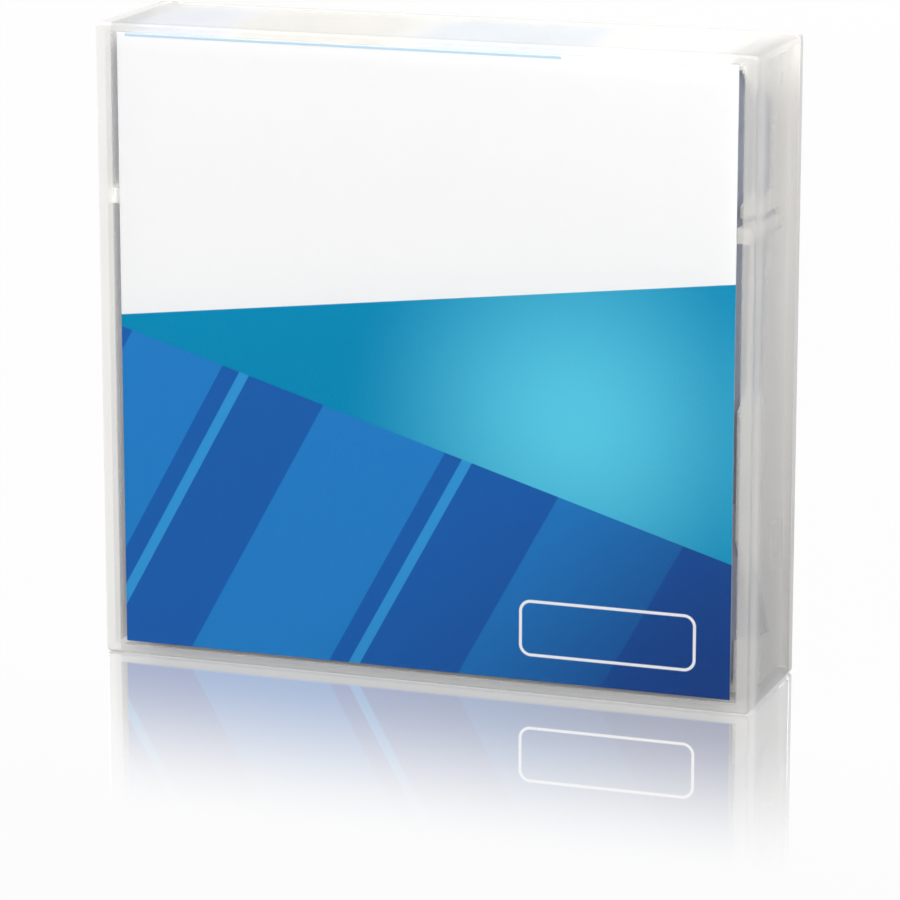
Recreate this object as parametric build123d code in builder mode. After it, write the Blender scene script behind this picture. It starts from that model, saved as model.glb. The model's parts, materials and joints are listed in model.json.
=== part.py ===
"""Half-inch data tape cartridge standing in its frosted storage case.

Millimetres, +Z up, the case's window faces -Y, origin under the middle of the case.
The cartridge lies with its upper face to the front and its label end to the right (+X).
"""
import math
import os

from build123d import *

# Tape and reel
TAPE_W = 12.65
PACK_R = 46.85
HUB_WALL = 2.4
HUB_RUN = 0.7
PACK_FIT = 0.05
TAPE_EDGE_GAP = 0.175
FLANGE_MARGIN = 0.75
UPPER_FLANGE_T = 1.0
LOWER_FLANGE_T = 1.1
FLANGE_TAPER = 0.3
WEB_T = 2.0
SEAT_RUN = 0.1
REEL_SEAT_H = 1.2
LIFT_GAP = 1.5

# Drive teeth, brake teeth and washer of the hub
TOOTH_COUNT = 36
DRIVE_TOOTH_R = 14.25
DRIVE_TOOTH_L = 3.5
DRIVE_TOOTH_W = 1.3
DRIVE_TOOTH_H = 1.6
BRAKE_RING_GAP = 0.9
BRAKE_TOOTH_L = 2.6
BRAKE_TOOTH_W = 1.2
BRAKE_TOOTH_H = 1.4
TOOTH_TAPER = 10.0
TOOTH_GAP = 0.2
WASHER_MARGIN = 1.0
WASHER_BORE_R = 4.9
WASHER_T = 1.0
WASHER_FIT = 0.1

# Brake and its release plate
BRAKE_T = 2.2
BRAKE_LIFT = 1.6
SOCKET_R = 6.6
SOCKET_L = 5.0
KEY_T = 1.8
KEY_L = 10.0
KEY_FIT = 0.2
RELEASE_T = 1.1
RELEASE_DISC_R = 6.5
RELEASE_LEG_R = 1.6
RELEASE_LEG_INSET = 0.65
RELEASE_LEGS = 3
RELEASE_ARM_W = 3.6
RELEASE_FIT = 0.3
NUB_R = 2.5
TOUCH = 0.05
SPRING_R = 8.6
SPRING_WIRE = 0.8
WIRE_FACETS = 6
SPRING_TURNS = 3
SPRING_RING_R = 9.6
SPRING_RING_T = 1.0
SPRING_RING_H = 1.2

# Cartridge shells
SHELL_WALL = 1.8
PLATE_T = 1.8
REEL_SIDE_GAP = 1.6
REEL_END_GAP = 1.4
LEAD_GAP = 5.2
CART_CORNER_R = 2.0
LEAD_CHAMFER = 2.2
SHELL_EDGE_R = 0.6
HUB_OPENING_GAP = 2.0
REEL_SEAT_T = 2.0
GRIP_COUNT = 6
GRIP_PITCH = 2.4
GRIP_W = 1.2
GRIP_DEPTH = 0.5
GRIP_FROM_END = 9.0
GRIP_MARGIN = 3.0
LABEL_DEPTH = 0.5
LABEL_FROM_LOW = 31.0
LABEL_L = 62.0
LABEL_MARGIN = 2.2
PANEL_DEPTH = 0.3
PANEL_L = 68.0
PANEL_W = 30.0
PANEL_FROM_END = 9.0
PANEL_R = 2.0

# Screws that hold the shells together
BOSS_R = 2.6
BOSS_INSET = 5.0
DOOR_BOSS_BELOW_TOP = 16.7
SCREW_R = 1.0
SCREW_FIT = 0.05
SCREW_HEAD_R = 1.9
SCREW_HEAD_T = 1.2
SCREW_HEAD_SINK = 0.4
SCREW_HEAD_FIT = 0.2
SCREW_L = 12.0
SCREW_KEY_R = 0.9
SCREW_KEY_SIDES = 6
SCREW_KEY_DEPTH = 0.7

# Leader pin, its clip, its wire spring and the tape's free end
PIN_FROM_LEAD = 9.2
PIN_BELOW_TOP = 9.2
PIN_R = 1.6
PIN_HEAD_R = 3.1
PIN_HEAD_T = 1.2
PIN_END_GAP = 0.2
PIN_SEAT_FIT = 0.2
PIN_SEAT_WALL = 1.7
PIN_SEAT_H = 1.3
PIN_SEAT_RISE = 2.5
CLIP_WALL = 0.8
CLIP_SLOT = 1.2
CLIP_FIT = 0.05
WIRE = 0.6
WIRE_REACH = 3.0
WIRE_BEND_R = 1.5
TAPE_END_T = 0.2
TAPE_END_GAP = 0.3

# Sliding door and its spring
DOOR_T = 1.2
DOOR_SHORT = 1.0
DOOR_LAP = 0.8
DOOR_FIT = 0.2
DOOR_GROOVE_W = 2.0
DOOR_GROOVE_DEPTH = 0.4
DOOR_RAIL_T = 1.0
DOOR_RAIL_H = 1.2
DOOR_LUG_L = 1.6
DOOR_LUG_H = 2.0
DOOR_LUG_W = 3.0
DOOR_SPRING_R = 2.4
DOOR_SPRING_WIRE = 0.5
DOOR_SPRING_PITCH = 0.8
DOOR_SPRING_TURNS = 3.75
DOOR_SPRING_DROP = 4.9
DOOR_SPRING_GAP = 2.04
DOOR_POST_R = 1.9
DOOR_STOP_R = 1.0
DOOR_LEG_L = 4.3
DOOR_ARM_L = 7.0

# Write protect slide
WP_FROM_LOW = 17.5
WP_WINDOW_L = 8.4
WP_WINDOW_W = 4.0
WP_BEHIND_PARTING = 2.2
WP_THUMB_L = 4.0
WP_TRAVEL = 4.0
WP_FIT = 0.2
WP_PLATE_T = 1.4
WP_LAP = 1.2
WP_SINK = 0.4
WP_RAIL_T = 1.0

# Memory chip, slanted in the lower shell's corner
CHIP_W = 8.0
CHIP_L = 10.5
CHIP_T = 0.8
CHIP_BELOW_TOP = 9.2
CHIP_STANDOFF = 2.8
CHIP_RIB_T = 1.2

# Storage case
COVER_WALL = 1.2
FRONT_WALL = 1.3
TRAY_PLATE = 1.6
TRAY_WALL = 1.0
PAD_H = 1.5
PAD_W = 2.0
PAD_FROM_END = 12.0
SEAT_GAP = 0.3
LEFT_GAP = 2.6
SWING_GAP = 2.3
NEST_GAP = 0.5
FLAP_SPACE = 1.2
CASE_CORNER_R = 0.8
FRONT_EDGE_R = 0.5
BACK_EDGE_R = 0.9
RIM_D = 2.6
RIM_GAP = 0.25
WALL_TIP = 6.5
NOTCH_TIP = 15.5
NOTCH_FROM_HIGH = 1.5
NOTCH_SLOPE_H = 6.5
TONGUE_H = 2.0
TONGUE_SLOPE_H = 1.5
TAPER_TIP = 14.0
TAPER_END_TIP = 12.5
TAPER_FROM_LOW = 52.0
TAPER_SLOPE_H = 3.0
WEDGE_TIP = 18.5
WEDGE_FROM_LOW = 9.0
WEDGE_H = 18.5
WEDGE_SLOPE_H = 1.5

# Hinge and catch of the case
HINGE_INSET = 2.0
HINGE_GAP = 0.3
BARREL_R = 1.8
HINGE_PIN_R = 1.0
HINGE_PIN_FIT = 0.06
HINGE_PIN_SINK = 0.1
EAR_GAP = 0.8
LEFT_WALL_GAP = 0.4
CATCH_FROM_LOW = 20.0
CATCH_L = 8.0
CATCH_DEPTH = 17.0
CATCH_W = 3.0
CATCH_H = 1.4
RIDGE_H = 0.5
RIDGE_W = 1.5
RIDGE_GAP = 0.3

# Ribs on the cover's side walls
RIB_FROM_LOW = 77.8
RIB_H = 2.6
RIB_FRONT_REACH = 2.4
RIB_BACK_REACH = 1.0
RIB_END = 19.0
RIB_SLOT_GAP = 0.6

# Printed card
CARD_T = 0.3
CARD_GAP = 1.4
CARD_LEFT = 3.3
CARD_RIGHT = 3.6
CARD_LOW_GAP = 0.7
FLAP_GAP = 0.3
FLAP_L = 22.4
FLAP_INSET = 2.0
FLAP_CHAMFER = 5.0
FOLD_R = 0.15

# Reel, cartridge and case sizes that follow
TAPE_SPACE = TAPE_W + 2 * TAPE_EDGE_GAP
RELEASE_LEG_RING = DRIVE_TOOTH_R - RELEASE_LEG_INSET
WASHER_R = RELEASE_LEG_RING - RELEASE_LEG_R - WASHER_MARGIN
BRAKE_TOOTH_R = RELEASE_LEG_RING + RELEASE_ARM_W / 2 + BRAKE_RING_GAP + BRAKE_TOOTH_L / 2
BRAKE_R = BRAKE_TOOTH_R + BRAKE_TOOTH_L / 2
HUB_IN_R = BRAKE_R + HUB_RUN
HUB_R = HUB_IN_R + HUB_WALL
HUB_OPENING_R = DRIVE_TOOTH_R + DRIVE_TOOTH_L / 2 + HUB_OPENING_GAP
FLANGE_R = PACK_R + FLANGE_MARGIN
CART_L = FLANGE_R + LEAD_GAP + FLANGE_R + REEL_END_GAP + 2 * SHELL_WALL
CART_W = 2 * (FLANGE_R + REEL_SIDE_GAP + SHELL_WALL)
REEL_T = UPPER_FLANGE_T + TAPE_SPACE + LOWER_FLANGE_T
CART_T = 2 * PLATE_T + LIFT_GAP + REEL_T + SEAT_RUN + REEL_SEAT_H
CASE_W = 2 * COVER_WALL + LEFT_GAP + CART_L + SEAT_GAP + TRAY_WALL + SWING_GAP
CASE_H = 2 * COVER_WALL + NEST_GAP + 2 * TRAY_WALL + CART_W + SEAT_GAP + FLAP_SPACE
CASE_D = FRONT_WALL + CARD_T + CARD_GAP + CART_T + PAD_H + TRAY_PLATE

# Faces of the case: left and right in X, front and back in Y, 0 and top in Z
LEFT = -CASE_W / 2
RIGHT = CASE_W / 2
FRONT = -CASE_D / 2
BACK = CASE_D / 2
TOP = CASE_H
COVER_BACK = BACK - RIM_D - RIM_GAP
WINDOW_IN = FRONT + FRONT_WALL
PLATE_IN = BACK - TRAY_PLATE
HINGE_X = LEFT + HINGE_INSET
HINGE_Y = BACK - HINGE_INSET
EAR_X = LEFT + 2 * HINGE_INSET
EAR_NOTCH_X = EAR_X + EAR_GAP
BARREL_LOW = COVER_WALL + HINGE_GAP
BARREL_HIGH = TOP - COVER_WALL - HINGE_GAP

# Faces of the cartridge: leading and label end in X, upper and lower face in Y, sides in Z
CART_LEAD = LEFT + COVER_WALL + LEFT_GAP
CART_END = CART_LEAD + CART_L
CART_LOW = COVER_WALL + NEST_GAP + TRAY_WALL
CART_HIGH = CART_LOW + CART_W
CART_TOP = WINDOW_IN + CARD_T + CARD_GAP
CART_BASE = CART_TOP + CART_T
CART_X = (CART_LEAD + CART_END) / 2
CART_Z = (CART_LOW + CART_HIGH) / 2
UPPER_IN = CART_TOP + PLATE_T
LOWER_IN = CART_BASE - PLATE_T
PARTING = (CART_TOP + CART_BASE) / 2
LEAD_IN = CART_LEAD + SHELL_WALL
END_IN = CART_END - SHELL_WALL
HIGH_IN = CART_HIGH - SHELL_WALL

# Levels of the reel along Y, and its axis
REEL_X = LEAD_IN + LEAD_GAP + FLANGE_R
REEL_Z = CART_Z
FLANGE_TOP = UPPER_IN + LIFT_GAP
TAPE_TOP = FLANGE_TOP + UPPER_FLANGE_T
TAPE_LOW = TAPE_TOP + TAPE_SPACE
REEL_BASE = TAPE_LOW + LOWER_FLANGE_T
WEB_IN = REEL_BASE - WEB_T
BRAKE_FACE = WEB_IN - BRAKE_TOOTH_H - TOOTH_GAP
BRAKE_BACK = BRAKE_FACE - BRAKE_T
RELEASE_LOW = WEB_IN - TOUCH
RELEASE_TOP = RELEASE_LOW - RELEASE_T
TAPE_MID = (TAPE_TOP + TAPE_LOW) / 2
REEL_AXIS = Axis((REEL_X, 0, REEL_Z), (0, 1, 0))

# Places of the leader pin, the door, the door spring and the write protect slide
PIN_X = CART_LEAD + PIN_FROM_LEAD
PIN_Z = CART_HIGH - PIN_BELOW_TOP
DOOR_LOW = HIGH_IN - DOOR_FIT - DOOR_T
COIL_Z = DOOR_LOW - DOOR_SPRING_DROP
COIL_OUT_R = DOOR_SPRING_R + DOOR_SPRING_WIRE / 2
COIL_X = REEL_X - math.sqrt((FLANGE_R + DOOR_SPRING_GAP + COIL_OUT_R)**2 - (COIL_Z - REEL_Z)**2)
DOOR_LEAD = LEAD_IN + DOOR_FIT
DOOR_TAIL = COIL_X - COIL_OUT_R - TOUCH
DOOR_TRAVEL = DOOR_TAIL - DOOR_LEAD - DOOR_SHORT
OPENING_LEAD = DOOR_LEAD + DOOR_LAP
OPENING_TAIL = DOOR_TAIL - DOOR_LAP
WP_LOW = CART_LOW + WP_FROM_LOW
WP_FRONT = PARTING + WP_BEHIND_PARTING
WP_BACK = WP_FRONT + WP_WINDOW_W
WP_PLATE_X = END_IN - WP_FIT - WP_PLATE_T
BOSSES = [
    (CART_LEAD + BOSS_INSET, CART_LOW + BOSS_INSET),
    (CART_END - BOSS_INSET, CART_LOW + BOSS_INSET),
    (CART_END - BOSS_INSET, CART_HIGH - BOSS_INSET),
    (CART_LEAD + BOSS_INSET, CART_HIGH - DOOR_BOSS_BELOW_TOP),
]


def across(y):
    """Sketch plane at depth y, seen from the front: X to the right and Z up."""
    return Plane.XZ.offset(-y)


def around(x, z):
    """Half-section plane through an axis along Y: radius to the right, Y up."""
    return Plane(origin=(x, 0, z), x_dir=(1, 0, 0), z_dir=(0, 0, 1))


def rectangle(x0, x1, y0, y1, mode=Mode.ADD):
    """Rectangle in the current sketch between two corners."""
    with Locations(((x0 + x1) / 2, (y0 + y1) / 2)):
        Rectangle(x1 - x0, y1 - y0, mode=mode)


def bar(x0, x1, y0, y1, z0, z1, mode=Mode.ADD):
    """Straight rib, wall or pocket between two corners of the current part."""
    with BuildSketch(across(y0)) as profile:
        rectangle(x0, x1, z0, z1)
    extrude(profile.sketch, amount=-(y1 - y0), mode=mode)


def disc(x, z, radius, y0, y1, mode=Mode.ADD):
    """Round boss or hole along Y in the current part."""
    with BuildSketch(across(y0)) as profile:
        with Locations((x, z)):
            Circle(radius)
    extrude(profile.sketch, amount=-(y1 - y0), mode=mode)


def section(points):
    """Closed outline in the current sketch."""
    with BuildLine() as outline:
        Polyline(*points, close=True)
    make_face(outline.line)


def finish(piece, name):
    """Label a finished piece and write it."""
    piece.label = name
    export_step(piece, f"parts/{name}.step")


def cartridge_outline(inset):
    """Rectangle of the cartridge seen from the front, drawn in from its sides."""
    with Locations((CART_X, CART_Z)):
        Rectangle(CART_L - 2 * inset, CART_W - 2 * inset)


def shell_block(y0, y1):
    """Outer block of one shell: round corners at the label end, chamfers at the leading end."""
    with BuildSketch(across(y0)) as outline:
        cartridge_outline(0)
        chamfer(outline.vertices().group_by(Axis.X)[0], LEAD_CHAMFER)
        fillet(outline.vertices().group_by(Axis.X)[-1], CART_CORNER_R)
    extrude(outline.sketch, amount=-(y1 - y0))


def shell_cavity(y0, y1):
    """Inside of one shell between two depths."""
    with BuildSketch(across(y0)) as outline:
        cartridge_outline(SHELL_WALL)
    extrude(outline.sketch, amount=-(y1 - y0), mode=Mode.SUBTRACT)


def shell_sides(y0, y1):
    """Grip grooves, label recess and tape opening that both shells share."""
    groove_start = max(y0, CART_TOP + GRIP_MARGIN)
    groove_end = min(y1, CART_BASE - GRIP_MARGIN)
    with BuildSketch(across(groove_start)) as grooves:
        for index in range(GRIP_COUNT):
            groove_x = CART_END - GRIP_FROM_END - index * GRIP_PITCH
            rectangle(groove_x - GRIP_W, groove_x, CART_LOW, CART_LOW + GRIP_DEPTH)
            rectangle(groove_x - GRIP_W, groove_x, CART_HIGH - GRIP_DEPTH, CART_HIGH)
    extrude(grooves.sketch, amount=-(groove_end - groove_start), mode=Mode.SUBTRACT)
    label_low = CART_LOW + LABEL_FROM_LOW
    label_high = label_low + LABEL_L
    label_top = max(y0, CART_TOP + LABEL_MARGIN)
    label_base = min(y1, CART_BASE - LABEL_MARGIN)
    bar(CART_END - LABEL_DEPTH, CART_END, label_top, label_base, label_low, label_high, Mode.SUBTRACT)
    opening_top = max(y0, UPPER_IN)
    opening_base = min(y1, LOWER_IN)
    bar(OPENING_LEAD, OPENING_TAIL, opening_top, opening_base, HIGH_IN, CART_HIGH, Mode.SUBTRACT)


def pin_seat(y0, y1):
    """Cradle for one head of the leader pin, open towards the tape opening."""
    seat_r = PIN_HEAD_R + PIN_SEAT_FIT
    with BuildSketch(across(y0)) as cradle:
        with Locations((PIN_X, PIN_Z)):
            Circle(seat_r + PIN_SEAT_WALL)
            Circle(seat_r, mode=Mode.SUBTRACT)
        rectangle(PIN_X - seat_r, PIN_X + seat_r, PIN_Z, HIGH_IN, Mode.SUBTRACT)
        rectangle(LEAD_IN, OPENING_TAIL, PIN_Z + PIN_SEAT_RISE, HIGH_IN, Mode.SUBTRACT)
    extrude(cradle.sketch, amount=-(y1 - y0))


def door_rail(y0, y1):
    """Rail that guides one edge of the door along the side wall, clear of the pin's way out."""
    rail_top = DOOR_LOW - DOOR_FIT
    rail_start = PIN_X + PIN_HEAD_R + PIN_SEAT_WALL
    bar(rail_start, DOOR_TAIL + DOOR_TRAVEL, y0, y1, rail_top - DOOR_RAIL_T, rail_top)


def teeth(y, height, radius, length, width, phase):
    """Ring of tapered teeth on the face at depth y; a negative height points to the front."""
    with BuildSketch(across(y)) as ring:
        with Locations((REEL_X, REEL_Z)):
            with PolarLocations(radius, TOOTH_COUNT, start_angle=phase):
                Rectangle(length, width)
    extrude(ring.sketch, amount=-height, taper=TOOTH_TAPER)


def key_cross(thickness, length):
    """Cross that keeps the brake from turning."""
    with Locations((REEL_X, REEL_Z)):
        Rectangle(length, thickness)
        Rectangle(thickness, length)


os.makedirs("parts", exist_ok=True)

# Front half of the case: window plate, four walls and two hinge ears
with BuildPart() as case_cover:
    with BuildSketch(across(FRONT)):
        with Locations((0, CASE_H / 2)):
            RectangleRounded(CASE_W, CASE_H, CASE_CORNER_R)
    extrude(amount=-CASE_D)
    fillet(case_cover.faces().sort_by(Axis.Y)[0].edges(), FRONT_EDGE_R)
    bar(LEFT + COVER_WALL, RIGHT - COVER_WALL, WINDOW_IN, BACK, COVER_WALL, TOP - COVER_WALL, Mode.SUBTRACT)
    with BuildSketch(Plane.XY):
        rectangle(LEFT, RIGHT, COVER_BACK, BACK)
        rectangle(LEFT, EAR_X, COVER_BACK, HINGE_Y, Mode.SUBTRACT)
        with Locations((HINGE_X, HINGE_Y)):
            Circle(HINGE_INSET, mode=Mode.SUBTRACT)
    extrude(amount=TOP, mode=Mode.SUBTRACT)
    left_wall_end = HINGE_Y - HINGE_INSET - LEFT_WALL_GAP
    bar(LEFT, LEFT + COVER_WALL, left_wall_end, BACK, COVER_WALL, TOP - COVER_WALL, Mode.SUBTRACT)
    with BuildSketch(Plane.XY):
        with Locations((HINGE_X, HINGE_Y)):
            Circle(HINGE_PIN_R + HINGE_PIN_FIT)
    extrude(amount=TOP, mode=Mode.SUBTRACT)
    rib_front = WINDOW_IN + CARD_T
    for wall, inward in ((LEFT + COVER_WALL, 1), (RIGHT - COVER_WALL, -1)):
        with BuildSketch(Plane.XY.offset(RIB_FROM_LOW)):
            section([
                (wall, rib_front),
                (wall + inward * RIB_FRONT_REACH, rib_front),
                (wall + inward * RIB_BACK_REACH, FRONT + RIB_END),
                (wall, FRONT + RIB_END),
            ])
        extrude(amount=RIB_H)
    ridge_front = FRONT + CATCH_DEPTH + CATCH_W + RIDGE_GAP
    bar(
        RIGHT - COVER_WALL - RIDGE_H, RIGHT - COVER_WALL,
        ridge_front, ridge_front + RIDGE_W,
        CATCH_FROM_LOW, CATCH_FROM_LOW + CATCH_L,
    )
finish(case_cover.part, "case_cover")

# Back half of the case: plate with a rim, hinge barrel and walls; the right one has notches
with BuildPart() as case_tray:
    with BuildSketch(across(BACK - RIM_D)):
        with Locations((0, CASE_H / 2)):
            RectangleRounded(CASE_W, CASE_H, CASE_CORNER_R)
    extrude(amount=-RIM_D)
    fillet(case_tray.faces().sort_by(Axis.Y)[-1].edges(), BACK_EDGE_R)
    bar(LEFT, RIGHT - COVER_WALL, BACK - RIM_D, PLATE_IN, COVER_WALL, TOP - COVER_WALL, Mode.SUBTRACT)
    bar(LEFT, EAR_NOTCH_X, BACK - RIM_D, BACK, 0, BARREL_LOW, Mode.SUBTRACT)
    bar(LEFT, EAR_NOTCH_X, BACK - RIM_D, BACK, BARREL_HIGH, TOP, Mode.SUBTRACT)
    bar(LEFT, HINGE_X, BACK - RIM_D, BACK, 0, TOP, Mode.SUBTRACT)
    with BuildSketch(Plane.XY.offset(BARREL_LOW)):
        with Locations((HINGE_X, HINGE_Y)):
            Circle(BARREL_R)
    extrude(amount=BARREL_HIGH - BARREL_LOW)
    with BuildSketch(Plane.XY.offset(HINGE_PIN_SINK)):
        with Locations((HINGE_X, HINGE_Y)):
            Circle(HINGE_PIN_R)
    extrude(amount=TOP - 2 * HINGE_PIN_SINK)
    wall_front = FRONT + WALL_TIP
    seat_right = CART_END + SEAT_GAP
    seat_high = CART_HIGH + SEAT_GAP
    wall_right = seat_right + TRAY_WALL
    wall_low = CART_LOW - TRAY_WALL
    wall_high = seat_high + TRAY_WALL
    notch_back = FRONT + NOTCH_TIP
    notch_high = wall_high - NOTCH_FROM_HIGH
    slot_high = RIB_FROM_LOW + RIB_H + RIB_SLOT_GAP
    tongue_high = slot_high + TONGUE_H
    bar(EAR_NOTCH_X, wall_right, wall_front, PLATE_IN, wall_low, CART_LOW)
    bar(EAR_NOTCH_X, wall_right, wall_front, PLATE_IN, seat_high, wall_high)
    with BuildSketch(Plane.YZ.offset(seat_right)):
        section([
            (PLATE_IN, wall_low),
            (PLATE_IN, wall_high),
            (wall_front, wall_high),
            (wall_front, notch_high),
            (notch_back, notch_high - NOTCH_SLOPE_H),
            (notch_back, tongue_high + TONGUE_SLOPE_H),
            (wall_front, tongue_high),
            (wall_front, RIB_FROM_LOW),
            (FRONT + TAPER_TIP, RIB_FROM_LOW),
            (FRONT + TAPER_END_TIP, TAPER_FROM_LOW),
            (wall_front, TAPER_FROM_LOW - TAPER_SLOPE_H),
            (wall_front, WEDGE_FROM_LOW + WEDGE_H),
            (FRONT + WEDGE_TIP, WEDGE_FROM_LOW),
            (wall_front, WEDGE_FROM_LOW + WEDGE_SLOPE_H),
            (wall_front, wall_low),
        ])
    extrude(amount=TRAY_WALL)
    bar(
        seat_right, wall_right, wall_front, FRONT + RIB_END + RIB_SLOT_GAP,
        RIB_FROM_LOW - RIB_SLOT_GAP, slot_high, Mode.SUBTRACT,
    )
    bar(
        wall_right, wall_right + CATCH_H,
        FRONT + CATCH_DEPTH, FRONT + CATCH_DEPTH + CATCH_W,
        CATCH_FROM_LOW, CATCH_FROM_LOW + CATCH_L,
    )
    for pad_x in (CART_LEAD + PAD_FROM_END, CART_END - PAD_FROM_END - PAD_W):
        bar(pad_x, pad_x + PAD_W, CART_BASE, PLATE_IN, wall_low, wall_high)
finish(case_tray.part, "case_tray")

# Printed card: front panel with a flap folded back under the top wall
with BuildPart() as insert_card:
    card_left = LEFT + CARD_LEFT
    card_right = RIGHT - CARD_RIGHT
    card_low = COVER_WALL + CARD_LOW_GAP
    card_high = wall_high + FLAP_GAP + CARD_T
    card_back = WINDOW_IN + CARD_T
    flap_end = WINDOW_IN + FLAP_L
    with BuildSketch(Plane.YZ.offset(card_left)):
        section([
            (WINDOW_IN, card_low),
            (WINDOW_IN, card_high),
            (flap_end, card_high),
            (flap_end, card_high - CARD_T),
            (card_back, card_high - CARD_T),
            (card_back, card_low),
        ])
    extrude(amount=card_right - card_left)
    with BuildSketch(Plane.XY.offset(card_high)):
        for side, inward in ((card_left, 1), (card_right, -1)):
            section([
                (side, card_back),
                (side + inward * FLAP_INSET, card_back),
                (side + inward * FLAP_INSET, flap_end - FLAP_CHAMFER),
                (side + inward * (FLAP_INSET + FLAP_CHAMFER), flap_end),
                (side, flap_end),
            ])
    extrude(amount=-CARD_T, mode=Mode.SUBTRACT)
    fold = insert_card.edges().filter_by(Axis.X).sort_by(Axis.Y).group_by(Axis.Y)[0].sort_by(Axis.Z)[-1]
    fillet(fold, FOLD_R)
finish(insert_card.part, "insert_card")

# Upper half of the cartridge, towards the window
with BuildPart() as upper_shell:
    shell_block(CART_TOP, PARTING)
    fillet(upper_shell.faces().sort_by(Axis.Y)[0].edges(), SHELL_EDGE_R)
    shell_cavity(UPPER_IN, PARTING)
    with BuildSketch(across(CART_TOP)):
        with Locations((CART_END - PANEL_FROM_END - PANEL_W / 2, CART_Z)):
            RectangleRounded(PANEL_W, PANEL_L, PANEL_R)
    extrude(amount=-PANEL_DEPTH, mode=Mode.SUBTRACT)
    for boss_x, boss_z in BOSSES:
        disc(boss_x, boss_z, BOSS_R, UPPER_IN, PARTING)
        disc(boss_x, boss_z, SCREW_R + SCREW_FIT, UPPER_IN, PARTING, Mode.SUBTRACT)
    pin_seat(UPPER_IN, UPPER_IN + PIN_SEAT_H)
    door_rail(UPPER_IN, UPPER_IN + DOOR_RAIL_H)
    with BuildSketch(across(UPPER_IN)):
        with Locations((REEL_X, REEL_Z)):
            Circle(SPRING_RING_R + SPRING_RING_T)
            Circle(SPRING_RING_R, mode=Mode.SUBTRACT)
    extrude(amount=-SPRING_RING_H)
    with BuildSketch(across(UPPER_IN)):
        key_cross(KEY_T, KEY_L)
    extrude(amount=-(BRAKE_BACK - BRAKE_LIFT - TOUCH - UPPER_IN))
    shell_sides(CART_TOP, PARTING)
finish(upper_shell.part, "upper_shell")

# Lower half of the cartridge, with the drive opening, the spring post and the slide's rail
with BuildPart() as lower_shell:
    shell_block(PARTING, CART_BASE)
    fillet(lower_shell.faces().sort_by(Axis.Y)[-1].edges(), SHELL_EDGE_R)
    shell_cavity(PARTING, LOWER_IN)
    disc(REEL_X, REEL_Z, HUB_OPENING_R + REEL_SEAT_T, LOWER_IN - REEL_SEAT_H, LOWER_IN)
    disc(REEL_X, REEL_Z, HUB_OPENING_R, LOWER_IN - REEL_SEAT_H, CART_BASE, Mode.SUBTRACT)
    head_seat = CART_BASE - SCREW_HEAD_SINK - SCREW_HEAD_T
    for boss_x, boss_z in BOSSES:
        disc(boss_x, boss_z, BOSS_R, PARTING, LOWER_IN)
        disc(boss_x, boss_z, SCREW_R + SCREW_HEAD_FIT, PARTING, CART_BASE, Mode.SUBTRACT)
        disc(boss_x, boss_z, SCREW_HEAD_R + SCREW_HEAD_FIT, head_seat, CART_BASE, Mode.SUBTRACT)
    pin_seat(LOWER_IN - PIN_SEAT_H, LOWER_IN)
    door_rail(LOWER_IN - DOOR_RAIL_H, LOWER_IN)
    disc(COIL_X, COIL_Z, DOOR_POST_R, PARTING, LOWER_IN)
    stop_z = COIL_Z + DOOR_SPRING_R - DOOR_SPRING_WIRE / 2 - TOUCH - DOOR_STOP_R
    disc(COIL_X - DOOR_ARM_L + DOOR_STOP_R, stop_z, DOOR_STOP_R, PARTING, LOWER_IN)
    bar(END_IN, CART_END, WP_FRONT, WP_BACK, WP_LOW, WP_LOW + WP_WINDOW_L, Mode.SUBTRACT)
    rail_x = WP_PLATE_X - WP_FIT
    wp_plate_low = WP_LOW - WP_LAP - WP_TRAVEL
    wp_plate_high = WP_LOW + WP_WINDOW_L + WP_LAP + WP_TRAVEL
    bar(rail_x - WP_RAIL_T, rail_x, WP_FRONT, LOWER_IN, wp_plate_low, wp_plate_high)
    bar(rail_x, END_IN, WP_BACK + WP_LAP + WP_FIT, LOWER_IN, wp_plate_low, wp_plate_high)
    chip_high = CART_HIGH - CHIP_BELOW_TOP
    chip_span = CHIP_W / math.sqrt(2)
    for rib_z in (chip_high - CHIP_L + CHIP_RIB_T, chip_high - 2 * CHIP_RIB_T):
        with BuildSketch(Plane.XY.offset(rib_z)):
            section([
                (END_IN, LOWER_IN),
                (END_IN - CHIP_STANDOFF - chip_span, LOWER_IN),
                (END_IN, LOWER_IN - CHIP_STANDOFF - chip_span),
            ])
        extrude(amount=CHIP_RIB_T)
    shell_sides(PARTING, CART_BASE)
finish(lower_shell.part, "lower_shell")

# Four screws that close the shells from below
with BuildPart() as shell_screws:
    for boss_x, boss_z in BOSSES:
        with BuildSketch(around(boss_x, boss_z)):
            section([
                (0, head_seat + SCREW_HEAD_T),
                (SCREW_HEAD_R, head_seat + SCREW_HEAD_T),
                (SCREW_HEAD_R, head_seat),
                (SCREW_R, head_seat),
                (SCREW_R, head_seat - SCREW_L + SCREW_R),
                (0, head_seat - SCREW_L),
            ])
        revolve(axis=Axis((boss_x, 0, boss_z), (0, 1, 0)))
        with BuildSketch(across(head_seat + SCREW_HEAD_T - SCREW_KEY_DEPTH)):
            with Locations((boss_x, boss_z)):
                RegularPolygon(SCREW_KEY_R, SCREW_KEY_SIDES)
        extrude(amount=-SCREW_KEY_DEPTH, mode=Mode.SUBTRACT)
finish(shell_screws.part, "shell_screws")

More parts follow.
